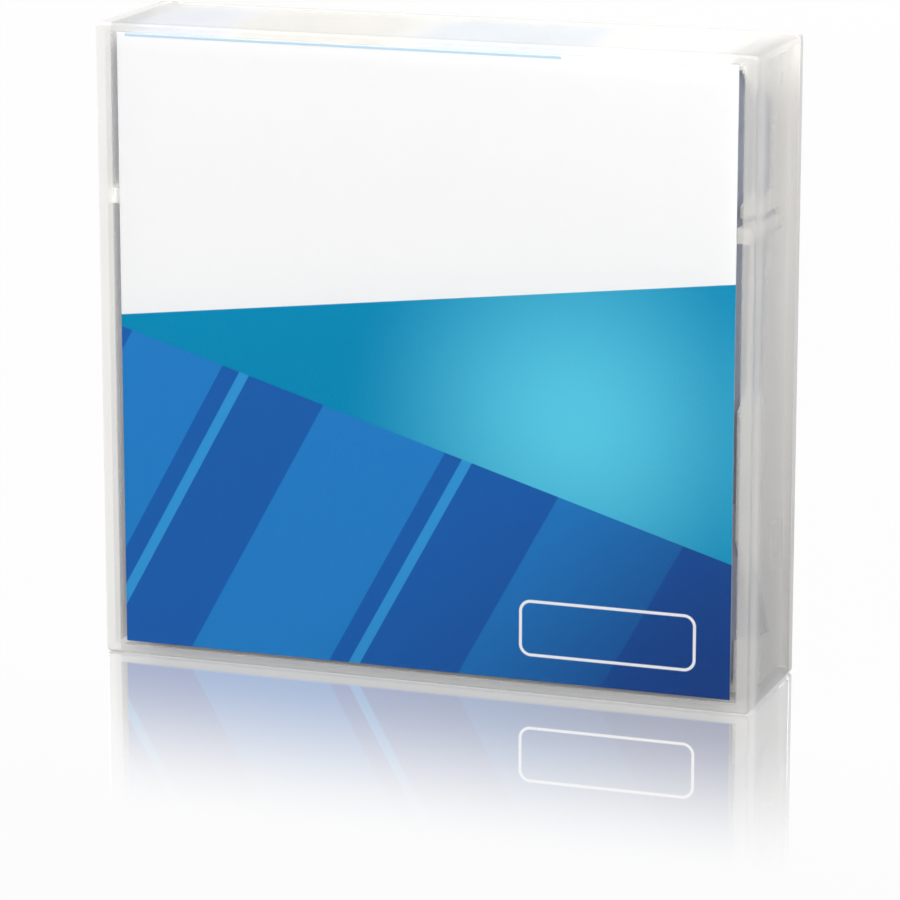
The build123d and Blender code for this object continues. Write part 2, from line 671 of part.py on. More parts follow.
# Hub with the lower flange, drive teeth outside and brake teeth inside
with BuildPart() as reel_hub:
    with BuildSketch(around(REEL_X, REEL_Z)):
        section([
            (0, WEB_IN),
            (HUB_IN_R, WEB_IN),
            (HUB_IN_R, TAPE_TOP),
            (HUB_R, TAPE_TOP),
            (HUB_R, TAPE_LOW),
            (FLANGE_R, TAPE_LOW),
            (FLANGE_R, REEL_BASE - FLANGE_TAPER),
            (HUB_R, REEL_BASE),
            (WASHER_BORE_R - WASHER_FIT, REEL_BASE),
            (WASHER_BORE_R - WASHER_FIT, REEL_BASE + WASHER_T),
            (0, REEL_BASE + WASHER_T),
        ])
    revolve(axis=REEL_AXIS)
    teeth(REEL_BASE, DRIVE_TOOTH_H, DRIVE_TOOTH_R, DRIVE_TOOTH_L, DRIVE_TOOTH_W, 0)
    teeth(WEB_IN, -BRAKE_TOOTH_H, BRAKE_TOOTH_R, BRAKE_TOOTH_L, BRAKE_TOOTH_W, 0)
    with BuildSketch(across(WEB_IN)):
        with Locations((REEL_X, REEL_Z)):
            with PolarLocations(RELEASE_LEG_RING, RELEASE_LEGS):
                Circle(RELEASE_LEG_R + RELEASE_FIT)
    extrude(amount=-(WEB_T + DRIVE_TOOTH_H), mode=Mode.SUBTRACT)
finish(reel_hub.part, "reel_hub")

# Upper flange on the hub's rim
with BuildPart() as reel_flange:
    with BuildSketch(around(REEL_X, REEL_Z)):
        section([
            (HUB_IN_R, TAPE_TOP),
            (FLANGE_R, TAPE_TOP),
            (FLANGE_R, FLANGE_TOP + FLANGE_TAPER),
            (HUB_R, FLANGE_TOP),
            (HUB_IN_R, FLANGE_TOP),
        ])
    revolve(axis=REEL_AXIS)
finish(reel_flange.part, "reel_flange")

# Steel washer under the hub's web
with BuildPart() as clutch_washer:
    with BuildSketch(across(REEL_BASE)):
        with Locations((REEL_X, REEL_Z)):
            Circle(WASHER_R)
            Circle(WASHER_BORE_R, mode=Mode.SUBTRACT)
    extrude(amount=-WASHER_T)
finish(clutch_washer.part, "clutch_washer")

# Wound tape
with BuildPart() as tape_pack:
    with BuildSketch(across(TAPE_MID - TAPE_W / 2)):
        with Locations((REEL_X, REEL_Z)):
            Circle(PACK_R)
            Circle(HUB_R + PACK_FIT, mode=Mode.SUBTRACT)
    extrude(amount=-TAPE_W)
finish(tape_pack.part, "tape_pack")

# Free run of tape, tangent to the pack, up to the clip on the leader pin
with BuildPart() as tape_end:
    run_r = PACK_R + TAPE_END_GAP + TAPE_END_T / 2
    pin_from_reel = Vector(PIN_X - REEL_X, PIN_Z - REEL_Z)
    pin_angle = math.degrees(math.atan2(pin_from_reel.Y, pin_from_reel.X))
    leave_angle = pin_angle + math.degrees(math.acos(run_r / pin_from_reel.length))
    clip_r = PIN_R + CLIP_FIT + CLIP_WALL
    run_length = math.sqrt(pin_from_reel.length**2 - run_r**2) - clip_r - TOUCH
    with BuildSketch(across(TAPE_MID - TAPE_W / 2)):
        with Locations((REEL_X, REEL_Z)):
            with PolarLocations(run_r, 1, start_angle=leave_angle):
                Rectangle(TAPE_END_T, run_length, align=(Align.CENTER, Align.MAX))
    extrude(amount=-TAPE_W)
finish(tape_end.part, "tape_end")

# Steel pin with two heads that the drive grips
with BuildPart() as leader_pin:
    pin_top = UPPER_IN + PIN_END_GAP
    pin_base = LOWER_IN - PIN_END_GAP
    with BuildSketch(around(PIN_X, PIN_Z)):
        section([
            (0, pin_top),
            (PIN_HEAD_R, pin_top),
            (PIN_HEAD_R, pin_top + PIN_HEAD_T),
            (PIN_R, pin_top + PIN_HEAD_T),
            (PIN_R, pin_base - PIN_HEAD_T),
            (PIN_HEAD_R, pin_base - PIN_HEAD_T),
            (PIN_HEAD_R, pin_base),
            (0, pin_base),
        ])
    revolve(axis=Axis((PIN_X, 0, PIN_Z), (0, 1, 0)))
finish(leader_pin.part, "leader_pin")

# Slotted clip that clamps the tape's end on the pin
with BuildPart() as leader_clip:
    with BuildSketch(across(TAPE_MID - TAPE_W / 2)):
        with Locations((PIN_X, PIN_Z)):
            Circle(clip_r)
            Circle(PIN_R + CLIP_FIT, mode=Mode.SUBTRACT)
        rectangle(PIN_X - CLIP_SLOT / 2, PIN_X + CLIP_SLOT / 2, PIN_Z, PIN_Z + clip_r, Mode.SUBTRACT)
    extrude(amount=-TAPE_W)
finish(leader_clip.part, "leader_clip")

# Bent wire whose two arms keep the pin's heads in their seats
with BuildPart() as leader_spring:
    wire_z = PIN_Z + PIN_HEAD_R + WIRE / 2 + TOUCH
    wire_root = LEAD_IN + WIRE / 2 + TOUCH
    wire_tip = PIN_X + WIRE_REACH
    arm_top = pin_top + PIN_HEAD_T / 2
    arm_base = pin_base - PIN_HEAD_T / 2
    with BuildLine() as wire_path:
        FilletPolyline(
            (wire_tip, arm_top, wire_z),
            (wire_root, arm_top, wire_z),
            (wire_root, arm_base, wire_z),
            (wire_tip, arm_base, wire_z),
            radius=WIRE_BEND_R,
        )
    with BuildSketch(Plane(origin=wire_path.line @ 0, z_dir=wire_path.line % 0)):
        Circle(WIRE / 2)
    sweep(path=wire_path.line)
finish(leader_spring.part, "leader_spring")

# Brake: toothed disc with a keyed socket
with BuildPart() as brake_button:
    disc(REEL_X, REEL_Z, BRAKE_R, BRAKE_BACK, BRAKE_FACE)
    teeth(BRAKE_FACE, BRAKE_TOOTH_H, BRAKE_TOOTH_R, BRAKE_TOOTH_L, BRAKE_TOOTH_W, 180 / TOOTH_COUNT)
    disc(REEL_X, REEL_Z, NUB_R, BRAKE_FACE, RELEASE_TOP - TOUCH)
    disc(REEL_X, REEL_Z, SOCKET_R, BRAKE_BACK - SOCKET_L, BRAKE_BACK)
    with BuildSketch(across(BRAKE_BACK - SOCKET_L)):
        key_cross(KEY_T + 2 * KEY_FIT, KEY_L + 2 * KEY_FIT)
    extrude(amount=-SOCKET_L, mode=Mode.SUBTRACT)
finish(brake_button.part, "brake_button")

# Coil spring between the upper shell and the brake
with BuildPart() as brake_spring:
    coil_start = UPPER_IN + SPRING_WIRE / 2 + TOUCH
    coil_height = BRAKE_BACK - UPPER_IN - SPRING_WIRE - 2 * TOUCH
    with BuildLine() as coil:
        Helix(coil_height / SPRING_TURNS, coil_height, SPRING_R, (REEL_X, coil_start, REEL_Z), (0, 1, 0))
    with BuildSketch(Plane(origin=coil.line @ 0, z_dir=coil.line % 0)):
        RegularPolygon(SPRING_WIRE / 2, WIRE_FACETS)
    sweep(path=coil.line, is_frenet=True)
finish(brake_spring.part, "brake_spring")

# Three-legged plate inside the hub; its legs reach the drive teeth through the web
with BuildPart() as release_plate:
    with BuildSketch(across(RELEASE_TOP)):
        with Locations((REEL_X, REEL_Z)):
            Circle(RELEASE_DISC_R)
            with PolarLocations(RELEASE_LEG_RING / 2, RELEASE_LEGS):
                Rectangle(RELEASE_LEG_RING, RELEASE_ARM_W)
            with PolarLocations(RELEASE_LEG_RING, RELEASE_LEGS):
                Circle(RELEASE_ARM_W / 2)
    extrude(amount=-RELEASE_T)
    with BuildSketch(across(RELEASE_LOW)):
        with Locations((REEL_X, REEL_Z)):
            with PolarLocations(RELEASE_LEG_RING, RELEASE_LEGS):
                Circle(RELEASE_LEG_R)
    extrude(amount=-(WEB_T + DRIVE_TOOTH_H - RELEASE_FIT))
finish(release_plate.part, "release_plate")

# Sliding door with a grip groove outside and a lug inside for its spring
with BuildPart() as access_door:
    door_high = DOOR_LOW + DOOR_T
    bar(DOOR_LEAD, DOOR_TAIL, UPPER_IN + DOOR_FIT, LOWER_IN - DOOR_FIT, DOOR_LOW, door_high)
    groove_lead = OPENING_LEAD + DOOR_LAP
    bar(
        groove_lead, groove_lead + DOOR_GROOVE_W, UPPER_IN + DOOR_FIT, LOWER_IN - DOOR_FIT,
        door_high - DOOR_GROOVE_DEPTH, door_high, Mode.SUBTRACT,
    )
    lug_front = PARTING + DOOR_LUG_W
    bar(DOOR_TAIL - DOOR_LUG_L, DOOR_TAIL, lug_front, lug_front + DOOR_LUG_W, DOOR_LOW - DOOR_LUG_H, DOOR_LOW)
finish(access_door.part, "access_door")

# Torsion spring: one leg behind the door's lug, the other on a stop
with BuildPart() as door_spring:
    leg_y = lug_front + DOOR_LUG_W / 2
    coil_rise = DOOR_SPRING_PITCH * DOOR_SPRING_TURNS
    with BuildLine() as door_coil:
        Helix(DOOR_SPRING_PITCH, coil_rise, DOOR_SPRING_R, (COIL_X, leg_y - coil_rise, COIL_Z), (0, 1, 0))
    with BuildSketch(Plane(origin=door_coil.line @ 0, z_dir=door_coil.line % 0)):
        RegularPolygon(DOOR_SPRING_WIRE / 2, WIRE_FACETS)
    sweep(path=door_coil.line, is_frenet=True)
    with BuildSketch(Plane.XY.offset(COIL_Z - DOOR_SPRING_WIRE / 2)):
        with Locations((COIL_X - DOOR_SPRING_R, leg_y)):
            Circle(DOOR_SPRING_WIRE / 2)
    extrude(amount=DOOR_LEG_L)
    with BuildSketch(Plane.YZ.offset(COIL_X + DOOR_SPRING_WIRE / 2)):
        with Locations((leg_y - coil_rise, COIL_Z + DOOR_SPRING_R)):
            Circle(DOOR_SPRING_WIRE / 2)
    extrude(amount=-DOOR_ARM_L)
finish(door_spring.part, "door_spring")

# Memory board on its two slanted ribs
with BuildPart() as memory_chip:
    chip_foot = Vector(END_IN - CHIP_STANDOFF - chip_span, LOWER_IN)
    slope = Vector(1, -1).normalized()
    rise = Vector(-1, -1).normalized()
    chip_start = chip_foot + slope * (CHIP_STANDOFF / math.sqrt(2)) + rise * TOUCH
    chip_end = chip_start + slope * CHIP_W
    chip_corners = (chip_start, chip_end, chip_end + rise * CHIP_T, chip_start + rise * CHIP_T)
    with BuildSketch(Plane.XY.offset(chip_high - CHIP_L)):
        section([(corner.X, corner.Y) for corner in chip_corners])
    extrude(amount=CHIP_L)
finish(memory_chip.part, "memory_chip")

# Write protect slide: plate behind the label wall with a thumb in the window
with BuildPart() as write_protect_tab:
    thumb_low = WP_LOW + WP_FIT
    plate_low = thumb_low - WP_LAP - WP_FIT
    plate_high = thumb_low + WP_WINDOW_L + WP_LAP - WP_FIT
    bar(WP_PLATE_X, WP_PLATE_X + WP_PLATE_T, WP_FRONT - WP_LAP, WP_BACK + WP_LAP, plate_low, plate_high)
    bar(
        WP_PLATE_X, CART_END - WP_SINK, WP_FRONT + WP_FIT, WP_BACK - WP_FIT,
        thumb_low, thumb_low + WP_THUMB_L,
    )
finish(write_protect_tab.part, "write_protect_tab")
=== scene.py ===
"""Looks, light and camera of the data tape cartridge in its frosted case."""
import json

import bpy
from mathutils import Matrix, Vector


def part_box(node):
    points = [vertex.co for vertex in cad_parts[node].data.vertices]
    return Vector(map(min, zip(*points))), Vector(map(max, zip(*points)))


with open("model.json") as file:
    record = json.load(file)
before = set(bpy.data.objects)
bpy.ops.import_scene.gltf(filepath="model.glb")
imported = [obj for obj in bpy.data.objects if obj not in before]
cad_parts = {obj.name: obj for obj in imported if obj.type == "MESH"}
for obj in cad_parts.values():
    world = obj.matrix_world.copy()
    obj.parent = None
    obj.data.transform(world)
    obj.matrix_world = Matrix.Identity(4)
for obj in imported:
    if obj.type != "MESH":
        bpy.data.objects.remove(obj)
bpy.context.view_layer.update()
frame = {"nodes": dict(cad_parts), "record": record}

MM = 0.001
WHITE = (1.0, 1.0, 1.0, 1.0)

# Camera, from the lines of the case in the photograph
CAMERA_AT = Vector((0.2478, -0.7002, 0.2165))
CAMERA_TO = Vector((0.0005, 0.0, 0.0369))
CAMERA_LENS = 181.8
CAMERA_SENSOR = 36.0

# Soft lamps: place, aim, width and power
LAMPS = {
    "key": ((-0.7, -1.1, 1.1), (0.0, 0.0, 0.05), 0.9, 29.5),
    "fill": ((0.24, -0.1, 0.27), (0.055, 0.0, 0.09), 0.15, 0.5),
    "back": ((-0.15, 1.0, 0.12), (0.0, 0.0, 0.06), 0.5, 9.0),
    "top": ((0.0, 0.12, 0.55), (0.0, 0.0, 0.1), 0.4, 0.4),
}
WORLD_LIGHT = 0.25

# Polished floor, whose shine fades from the front of the case towards the viewer
FLOOR_SIZE = 6.0
FLOOR_DROP = 0.05 * MM
FLOOR_WHITE = 0.96
FLOOR_SHINE = 0.6
FLOOR_SHINE_FROM = -0.0138
FLOOR_SHINE_TO = -0.094
FLOOR_ROUGHNESS = 0.02

# Clear area of the cover's front plate: margins from the case's edges
WINDOW_LEFT = 2.75 * MM
WINDOW_RIGHT = 2.2 * MM
WINDOW_LOW = 1.6 * MM
WINDOW_HIGH = 1.5 * MM
WINDOW_DEPTH = 1.45 * MM
WINDOW_BLUR = 0.25 * MM
WINDOW_ROUGHNESS = 0.06
WINDOW_IOR = 1.1

# Walls, ribs and catch of the case, as they are moulded
COVER_WALL = 1.2 * MM
RIB_SIDE = 0.1 * MM
RIB_RANGE = (77.7 * MM, 80.5 * MM)
CATCH_RANGE = (19.9 * MM, 28.1 * MM)
CATCH_OUT = 53.6 * MM
STEP = 0.02 * MM

# Frosted plastic: what shows through, what glows, where it is denser, and painted shade that darkens it towards the
# base
COVER_CLEAR = 0.68
COVER_GLOW = 0.6
TRAY_CLEAR = 0.15
TRAY_GLOW = 0.2
CORNER_FROM = 2.5 * MM
CORNER_TO = 7.0 * MM
EDGE_DENSITY = 0.8
DENSE_LOSS = 0.5
# Height below which painted shade darkens the cover's milk towards the base
PAINTED_SHADE_TO = 75.0 * MM
FROST_GRAIN = 2600.0
FROST_GRAIN_D = 0.08 * MM
FROST_CLOUD = 90.0
FROST_RELIEF = 0.25
FROST_ROUGHNESS = 0.13
FROST_IOR = 1.1
GLOSS_ROUGHNESS = 0.2
PLASTIC_IOR = 1.45
RIB_HOLD = 0.7
INNER_SHARE = 0.75
SHADOW_SHARE = 0.85

# Printed fields, in millimetres from the card's lower left corner
WHITE_EDGE = (57.0, 0.115)
BLUE_EDGE = (55.0, -0.30)
EDGE_BLUR = 0.08
GLOW_AT = (80.0, 44.0)
GLOW_R = 42.0
DUSK_RANGE = (25.0, 115.0)
BAND_SLANT = 0.55
BANDS = (
    (-28.0, -9.0, "blue light"), (-5.5, -3.5, "blue pale"),
    (12.0, 37.0, "blue light"), (40.5, 42.5, "blue pale"),
    (60.0, 85.0, "blue light"),
)
FIELD_AT = (86.0, 9.0)
FIELD_HALF = (15.0, 4.6)
FIELD_R = 1.8
FIELD_LINE = 0.5
FOLD_LINE_W = 0.5
FOLD_LINE_FROM = 1.4
FOLD_LINE_TO = 77.5
FLAP_FIELDS = ((0.5, 18.0, "flap blue"), (19.7, 47.7, "flap sand"), (51.2, 80.8, "flap sky"))
FLAP_BLUR = 0.9
CARD_SIDE = 0.2 * MM
FLAP_SIDE = 0.2 * MM
CARD_FIBRE = 1500.0
CARD_FIBRE_D = 0.03 * MM
CARD_RELIEF = 0.08
CARD_ROUGHNESS = 0.45
CARD_SHEEN = 0.12

# Patterns of the inner pieces
PLASTIC_CLOUD = 60.0
PLASTIC_RELIEF = 0.35
METAL_MARKS = 900.0
METAL_MARKS_D = 0.04 * MM
METAL_RELIEF = 0.1
TAPE_TURNS = 2400.0
TAPE_TURNS_D = 0.05 * MM
TAPE_RELIEF = 0.2
TAPE_ROUGHNESS = 0.3

# Printed and moulded colours, as 8-bit screen values
COLOURS = {
    "paper": (250, 250, 250),
    "teal": (0, 140, 186),
    "teal glow": (92, 205, 232),
    "blue": (28, 96, 174),
    "blue light": (36, 128, 200),
    "blue pale": (52, 152, 214),
    "blue deep": (26, 62, 130),
    "fold": (196, 220, 238),
    "flap": (226, 227, 229),
    "flap blue": (200, 208, 226),
    "flap sand": (214, 212, 206),
    "flap sky": (200, 212, 226),
    "milk": (249, 248, 245),
    "milk shade": (243, 241, 238),
    # Painted shade: the cover's milk turns to this towards its base
    "milk painted shade": (220, 219, 220),
    "slate": (144, 150, 166),
    "slate shade": (136, 142, 157),
    "bone": (206, 204, 198),
    "bone shade": (190, 188, 182),
    "tape": (44, 38, 34),
    "tape shade": (30, 26, 24),
    "steel": (176, 178, 180),
    "steel shade": (150, 152, 156),
    "wire": (146, 148, 152),
    "wire shade": (122, 124, 128),
    "board": (28, 74, 46),
    "board shade": (22, 60, 38),
    "slide": (150, 44, 36),
    "slide shade": (132, 38, 32),
    "floor": (130, 130, 130),
}


def linear(name):
    """Scene colour of a named screen colour, with full opacity."""
    def channel(value):
        share = value / 255
        return share / 12.92 if share <= 0.04045 else ((share + 0.055) / 1.055) ** 2.4
    return tuple(channel(value) for value in COLOURS[name]) + (1.0,)


class Graph:
    """Node tree of one material, with short calls for its nodes."""

    def __init__(self, name):
        self.material = bpy.data.materials.new(name)
        self.material.use_nodes = True
        self.nodes = self.material.node_tree.nodes
        self.links = self.material.node_tree.links
        self.nodes.clear()
        self.output = self.nodes.new("ShaderNodeOutputMaterial")
        self.place = self.node("ShaderNodeTexCoord").outputs["Object"]

    def node(self, kind, inputs=None, **settings):
        """New node with its settings and its inputs, which are values or other nodes' outputs."""
        made = self.nodes.new(kind)
        for key, value in settings.items():
            setattr(made, key, value)
        for key, value in (inputs or {}).items():
            if isinstance(value, bpy.types.NodeSocket):
                self.links.new(value, made.inputs[key])
            else:
                made.inputs[key].default_value = value
        return made

    def math(self, operation, first, second=0.0, third=0.0):
        """Result of one sum."""
        return self.node("ShaderNodeMath", {0: first, 1: second, 2: third}, operation=operation).outputs[0]

    def less(self, share):
        """What a share leaves of 1."""
        return self.math("SUBTRACT", 1.0, share)

    def both(self, first, second):
        """Product of two shares."""
        return self.math("MULTIPLY", first, second)

    def length(self, first, second):
        """Length of a line from its two sides."""
        return self.math("SQRT", self.math("ADD", self.math("POWER", first, 2.0), self.math("POWER", second, 2.0)))

    def axes(self):
        """Place in the shared frame, along each axis, in metres."""
        split = self.node("ShaderNodeSeparateXYZ", {0: self.place})
        return split.outputs["X"], split.outputs["Y"], split.outputs["Z"]

    def ramp(self, value, start, end, kind="SMOOTHSTEP"):
        """0 at the start and 1 at the end."""
        return self.node("ShaderNodeMapRange", {
            "Value": value, "From Min": start, "From Max": end,
        }, interpolation_type=kind).outputs[0]

    def above(self, value, edge, blur):
        """0 below an edge and 1 above it, with a soft change."""
        return self.ramp(value, edge - blur, edge + blur)

    def between(self, value, low, high, blur):
        """1 between two edges and 0 outside them."""
        return self.math("SUBTRACT", self.above(value, low, blur), self.above(value, high, blur))

    def mix(self, share, first, second):
        """Blend of two colours."""
        return self.node("ShaderNodeMix", {0: share, 6: first, 7: second}, data_type="RGBA").outputs[2]

    def noise(self, scale):
        """Fine irregular pattern in the shared frame."""
        return self.node("ShaderNodeTexNoise", {
            "Vector": self.place, "Scale": scale, "Detail": 3.0,
        }).outputs["Fac"]

    def bump(self, height, strength, distance):
        """Surface direction of a fine relief."""
        return self.node("ShaderNodeBump", {
            "Height": height, "Strength": strength, "Distance": distance,
        }).outputs["Normal"]

    def shader(self, kind, inputs=None):
        """Shader of one kind."""
        return self.node(kind, inputs).outputs[0]

    def blend(self, share, first, second):
        """Blend of two shaders."""
        return self.node("ShaderNodeMixShader", {0: share, 1: first, 2: second}).outputs[0]

    def finish(self, shader):
        """Use a shader as the surface and give the material back."""
        self.links.new(shader, self.output.inputs["Surface"])
        return self.material


def milky(graph, milk, glowing, clearness, dense, thick):
    """Frosted wall: it scatters, glows and shows what is behind it, blurred."""
    relief = graph.bump(graph.noise(FROST_GRAIN), FROST_RELIEF, FROST_GRAIN_D)
    diffuse = graph.shader("ShaderNodeBsdfDiffuse", {"Color": milk, "Normal": relief})
    glow = graph.shader("ShaderNodeBsdfTranslucent", {"Color": milk, "Normal": relief})
    blurred = graph.shader("ShaderNodeBsdfRefraction", {
        "Color": milk, "Roughness": FROST_ROUGHNESS, "IOR": FROST_IOR, "Normal": relief,
    })
    seen_in = graph.both(graph.less(graph.both(dense, DENSE_LOSS)), clearness)
    wall = graph.blend(seen_in, graph.blend(glowing, diffuse, glow), blurred)
    gloss = graph.shader("ShaderNodeBsdfGlossy", {"Roughness": GLOSS_ROUGHNESS, "Normal": relief})
    wall = graph.blend(graph.shader("ShaderNodeFresnel", {"IOR": PLASTIC_IOR}), wall, gloss)
    shadow = graph.node("ShaderNodeLightPath").outputs["Is Shadow Ray"]
    leaving = graph.node("ShaderNodeNewGeometry").outputs["Backfacing"]
    leaving = graph.both(leaving, graph.less(graph.both(thick, RIB_HOLD)))
    through = graph.math("MAXIMUM", graph.both(leaving, INNER_SHARE), graph.both(shadow, SHADOW_SHARE))
    return graph.blend(through, wall, graph.shader("ShaderNodeBsdfTransparent"))


def tray_frost(name):
    """Milky plastic of the case's back half."""
    graph = Graph(name)
    x, y, z = graph.axes()
    low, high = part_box("case_cover")
    corner = graph.ramp(y, low[1] + CORNER_TO, low[1] + CORNER_FROM)
    top = graph.above(z, high[2] - COVER_WALL, STEP)
    thick = graph.both(graph.between(z, *CATCH_RANGE, STEP), graph.above(x, CATCH_OUT, STEP))
    dense = graph.math("MAXIMUM", thick, graph.both(graph.math("MAXIMUM", corner, top), EDGE_DENSITY))
    milk = graph.mix(graph.noise(FROST_CLOUD), linear("milk"), linear("milk shade"))
    return graph.finish(milky(graph, milk, TRAY_GLOW, TRAY_CLEAR, dense, thick))


def cover_frost(name):
    """Milky plastic of the case's front half, with its polished window and painted shade towards its base."""
    graph = Graph(name)
    x, y, z = graph.axes()
    low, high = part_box("case_cover")
    front = graph.less(graph.above(y, low[1] + WINDOW_DEPTH, STEP))
    corner = graph.ramp(y, low[1] + CORNER_TO, low[1] + CORNER_FROM)
    top = graph.above(z, high[2] - COVER_WALL, STEP)
    inner = graph.less(graph.above(graph.math("ABSOLUTE", x), high[0] - COVER_WALL - RIB_SIDE, STEP))
    ribs = graph.math("MAXIMUM", graph.between(z, *RIB_RANGE, STEP), graph.between(z, *CATCH_RANGE, STEP))
    thick = graph.both(inner, graph.both(ribs, graph.less(front)))
    hinge_side = graph.less(graph.above(x, low[0] + WINDOW_LEFT, STEP))
    dense = graph.both(graph.math("MAXIMUM", corner, top), EDGE_DENSITY)
    dense = graph.math("MAXIMUM", graph.math("MAXIMUM", thick, hinge_side), dense)
    # Painted shade: the milk darkens towards the base of the cover, except near its front face
    painted_shade = graph.both(graph.ramp(z, PAINTED_SHADE_TO, 0.0, "LINEAR"), graph.less(corner))
    milk = graph.mix(graph.noise(FROST_CLOUD), linear("milk"), linear("milk shade"))
    milk = graph.mix(painted_shade, milk, linear("milk painted shade"))
    glowing = graph.both(graph.less(hinge_side), COVER_GLOW)
    wall = milky(graph, milk, glowing, COVER_CLEAR, dense, thick)
    clear = graph.both(
        graph.between(x, low[0] + WINDOW_LEFT, high[0] - WINDOW_RIGHT, WINDOW_BLUR),
        graph.between(z, low[2] + WINDOW_LOW, high[2] - WINDOW_HIGH, WINDOW_BLUR),
    )
    polished = graph.shader("ShaderNodeBsdfGlossy", {"Roughness": WINDOW_ROUGHNESS})
    sheen = graph.shader("ShaderNodeFresnel", {"IOR": WINDOW_IOR})
    window = graph.blend(sheen, graph.shader("ShaderNodeBsdfTransparent"), polished)
    return graph.finish(graph.blend(graph.both(clear, front), wall, window))


def front_print(graph, across, up, card_height):
    """Printed front: white above, a teal wedge with a glow, and a blue base with slanted bands."""
    def over_line(start, slope):
        """1 above a slanted line."""
        line = graph.math("MULTIPLY_ADD", across, slope, start)
        return graph.above(graph.math("SUBTRACT", up, line), 0.0, EDGE_BLUR)

    from_glow = graph.length(
        graph.math("SUBTRACT", across, GLOW_AT[0]), graph.math("SUBTRACT", up, GLOW_AT[1]))
    teal = graph.mix(graph.ramp(from_glow, GLOW_R, 0.0), linear("teal"), linear("teal glow"))
    slanted = graph.math("MULTIPLY_ADD", up, -BAND_SLANT, across)
    blue = linear("blue")
    for start, end, tint in BANDS:
        blue = graph.mix(graph.between(slanted, start, end, EDGE_BLUR), blue, linear(tint))
    dusk = graph.ramp(graph.math("SUBTRACT", across, up), *DUSK_RANGE)
    blue = graph.mix(dusk, blue, linear("blue deep"))
    front = graph.mix(over_line(*BLUE_EDGE), blue, teal)
    front = graph.mix(over_line(*WHITE_EDGE), front, linear("paper"))
    past = [
        graph.math("SUBTRACT", graph.math("ABSOLUTE", graph.math("SUBTRACT", place, middle)), half - FIELD_R)
        for place, middle, half in zip((across, up), FIELD_AT, FIELD_HALF)
    ]
    outside = graph.length(*(graph.math("MAXIMUM", side, 0.0) for side in past))
    inside = graph.math("MINIMUM", graph.math("MAXIMUM", *past), 0.0)
    from_edge = graph.math("ABSOLUTE", graph.math("SUBTRACT", graph.math("ADD", outside, inside), FIELD_R))
    outline = graph.less(graph.above(from_edge, FIELD_LINE / 2, EDGE_BLUR))
    front = graph.mix(outline, front, linear("paper"))
    fold = graph.both(
        graph.above(up, card_height - FOLD_LINE_W, EDGE_BLUR),
        graph.between(across, FOLD_LINE_FROM, FOLD_LINE_TO, EDGE_BLUR),
    )
    return graph.mix(fold, front, linear("fold"))


def printed_card(name):
    """Coated card: printed front, plain back, and a flap with blurred pale fields."""
    graph = Graph(name)
    x, y, z = graph.axes()
    low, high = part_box("insert_card")
    across = graph.both(graph.math("SUBTRACT", x, low[0]), 1 / MM)
    up = graph.both(graph.math("SUBTRACT", z, low[2]), 1 / MM)
    front = front_print(graph, across, up, (high[2] - low[2]) / MM)
    flap = linear("flap")
    for start, end, field in FLAP_FIELDS:
        flap = graph.mix(graph.between(across, start, end, FLAP_BLUR), flap, linear(field))
    behind = graph.above(y, low[1] + CARD_SIDE, STEP)
    folded = graph.both(behind, graph.above(z, high[2] - FLAP_SIDE, STEP))
    colour = graph.mix(folded, graph.mix(behind, front, linear("paper")), flap)
    # The card touches the window, so rays that start on the touching faces may leave from inside
    inside = graph.node("ShaderNodeNewGeometry").outputs["Backfacing"]
    graph.material.use_transparent_shadow = False
    return graph.finish(graph.shader("ShaderNodeBsdfPrincipled", {
        "Base Color": colour, "Roughness": CARD_ROUGHNESS, "Specular IOR Level": CARD_SHEEN,
        "Alpha": graph.less(inside),
        "Normal": graph.bump(graph.noise(CARD_FIBRE), CARD_RELIEF, CARD_FIBRE_D),
    }))


def moulded(name, colour, roughness, grain, depth):
    """Moulded plastic with a fine spark-eroded grain."""
    graph = Graph(name)
    base = graph.mix(graph.noise(PLASTIC_CLOUD), linear(colour), linear(colour + " shade"))
    return graph.finish(graph.shader("ShaderNodeBsdfPrincipled", {
        "Base Color": base, "Roughness": roughness,
        "Normal": graph.bump(graph.noise(grain), PLASTIC_RELIEF, depth),
    }))


def metal(name, colour, roughness):
    """Bright steel with faint drawing marks."""
    graph = Graph(name)
    marks = graph.noise(METAL_MARKS)
    base = graph.mix(marks, linear(colour), linear(colour + " shade"))
    return graph.finish(graph.shader("ShaderNodeBsdfPrincipled", {
        "Base Color": base, "Metallic": 1.0, "Roughness": roughness,
        "Normal": graph.bump(marks, METAL_RELIEF, METAL_MARKS_D),
    }))


def wound_tape(name):
    """Dark tape whose wound edges show as fine rings around the reel."""
    graph = Graph(name)
    low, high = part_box("tape_pack")
    x, _, z = graph.axes()
    radius = graph.length(
        graph.math("SUBTRACT", x, (low[0] + high[0]) / 2), graph.math("SUBTRACT", z, (low[2] + high[2]) / 2))
    rings = graph.node("ShaderNodeTexNoise", {"W": radius, "Scale": TAPE_TURNS}, noise_dimensions="1D").outputs["Fac"]
    base = graph.mix(rings, linear("tape"), linear("tape shade"))
    return graph.finish(graph.shader("ShaderNodeBsdfPrincipled", {
        "Base Color": base, "Roughness": TAPE_ROUGHNESS,
        "Normal": graph.bump(rings, TAPE_RELIEF, TAPE_TURNS_D),
    }))


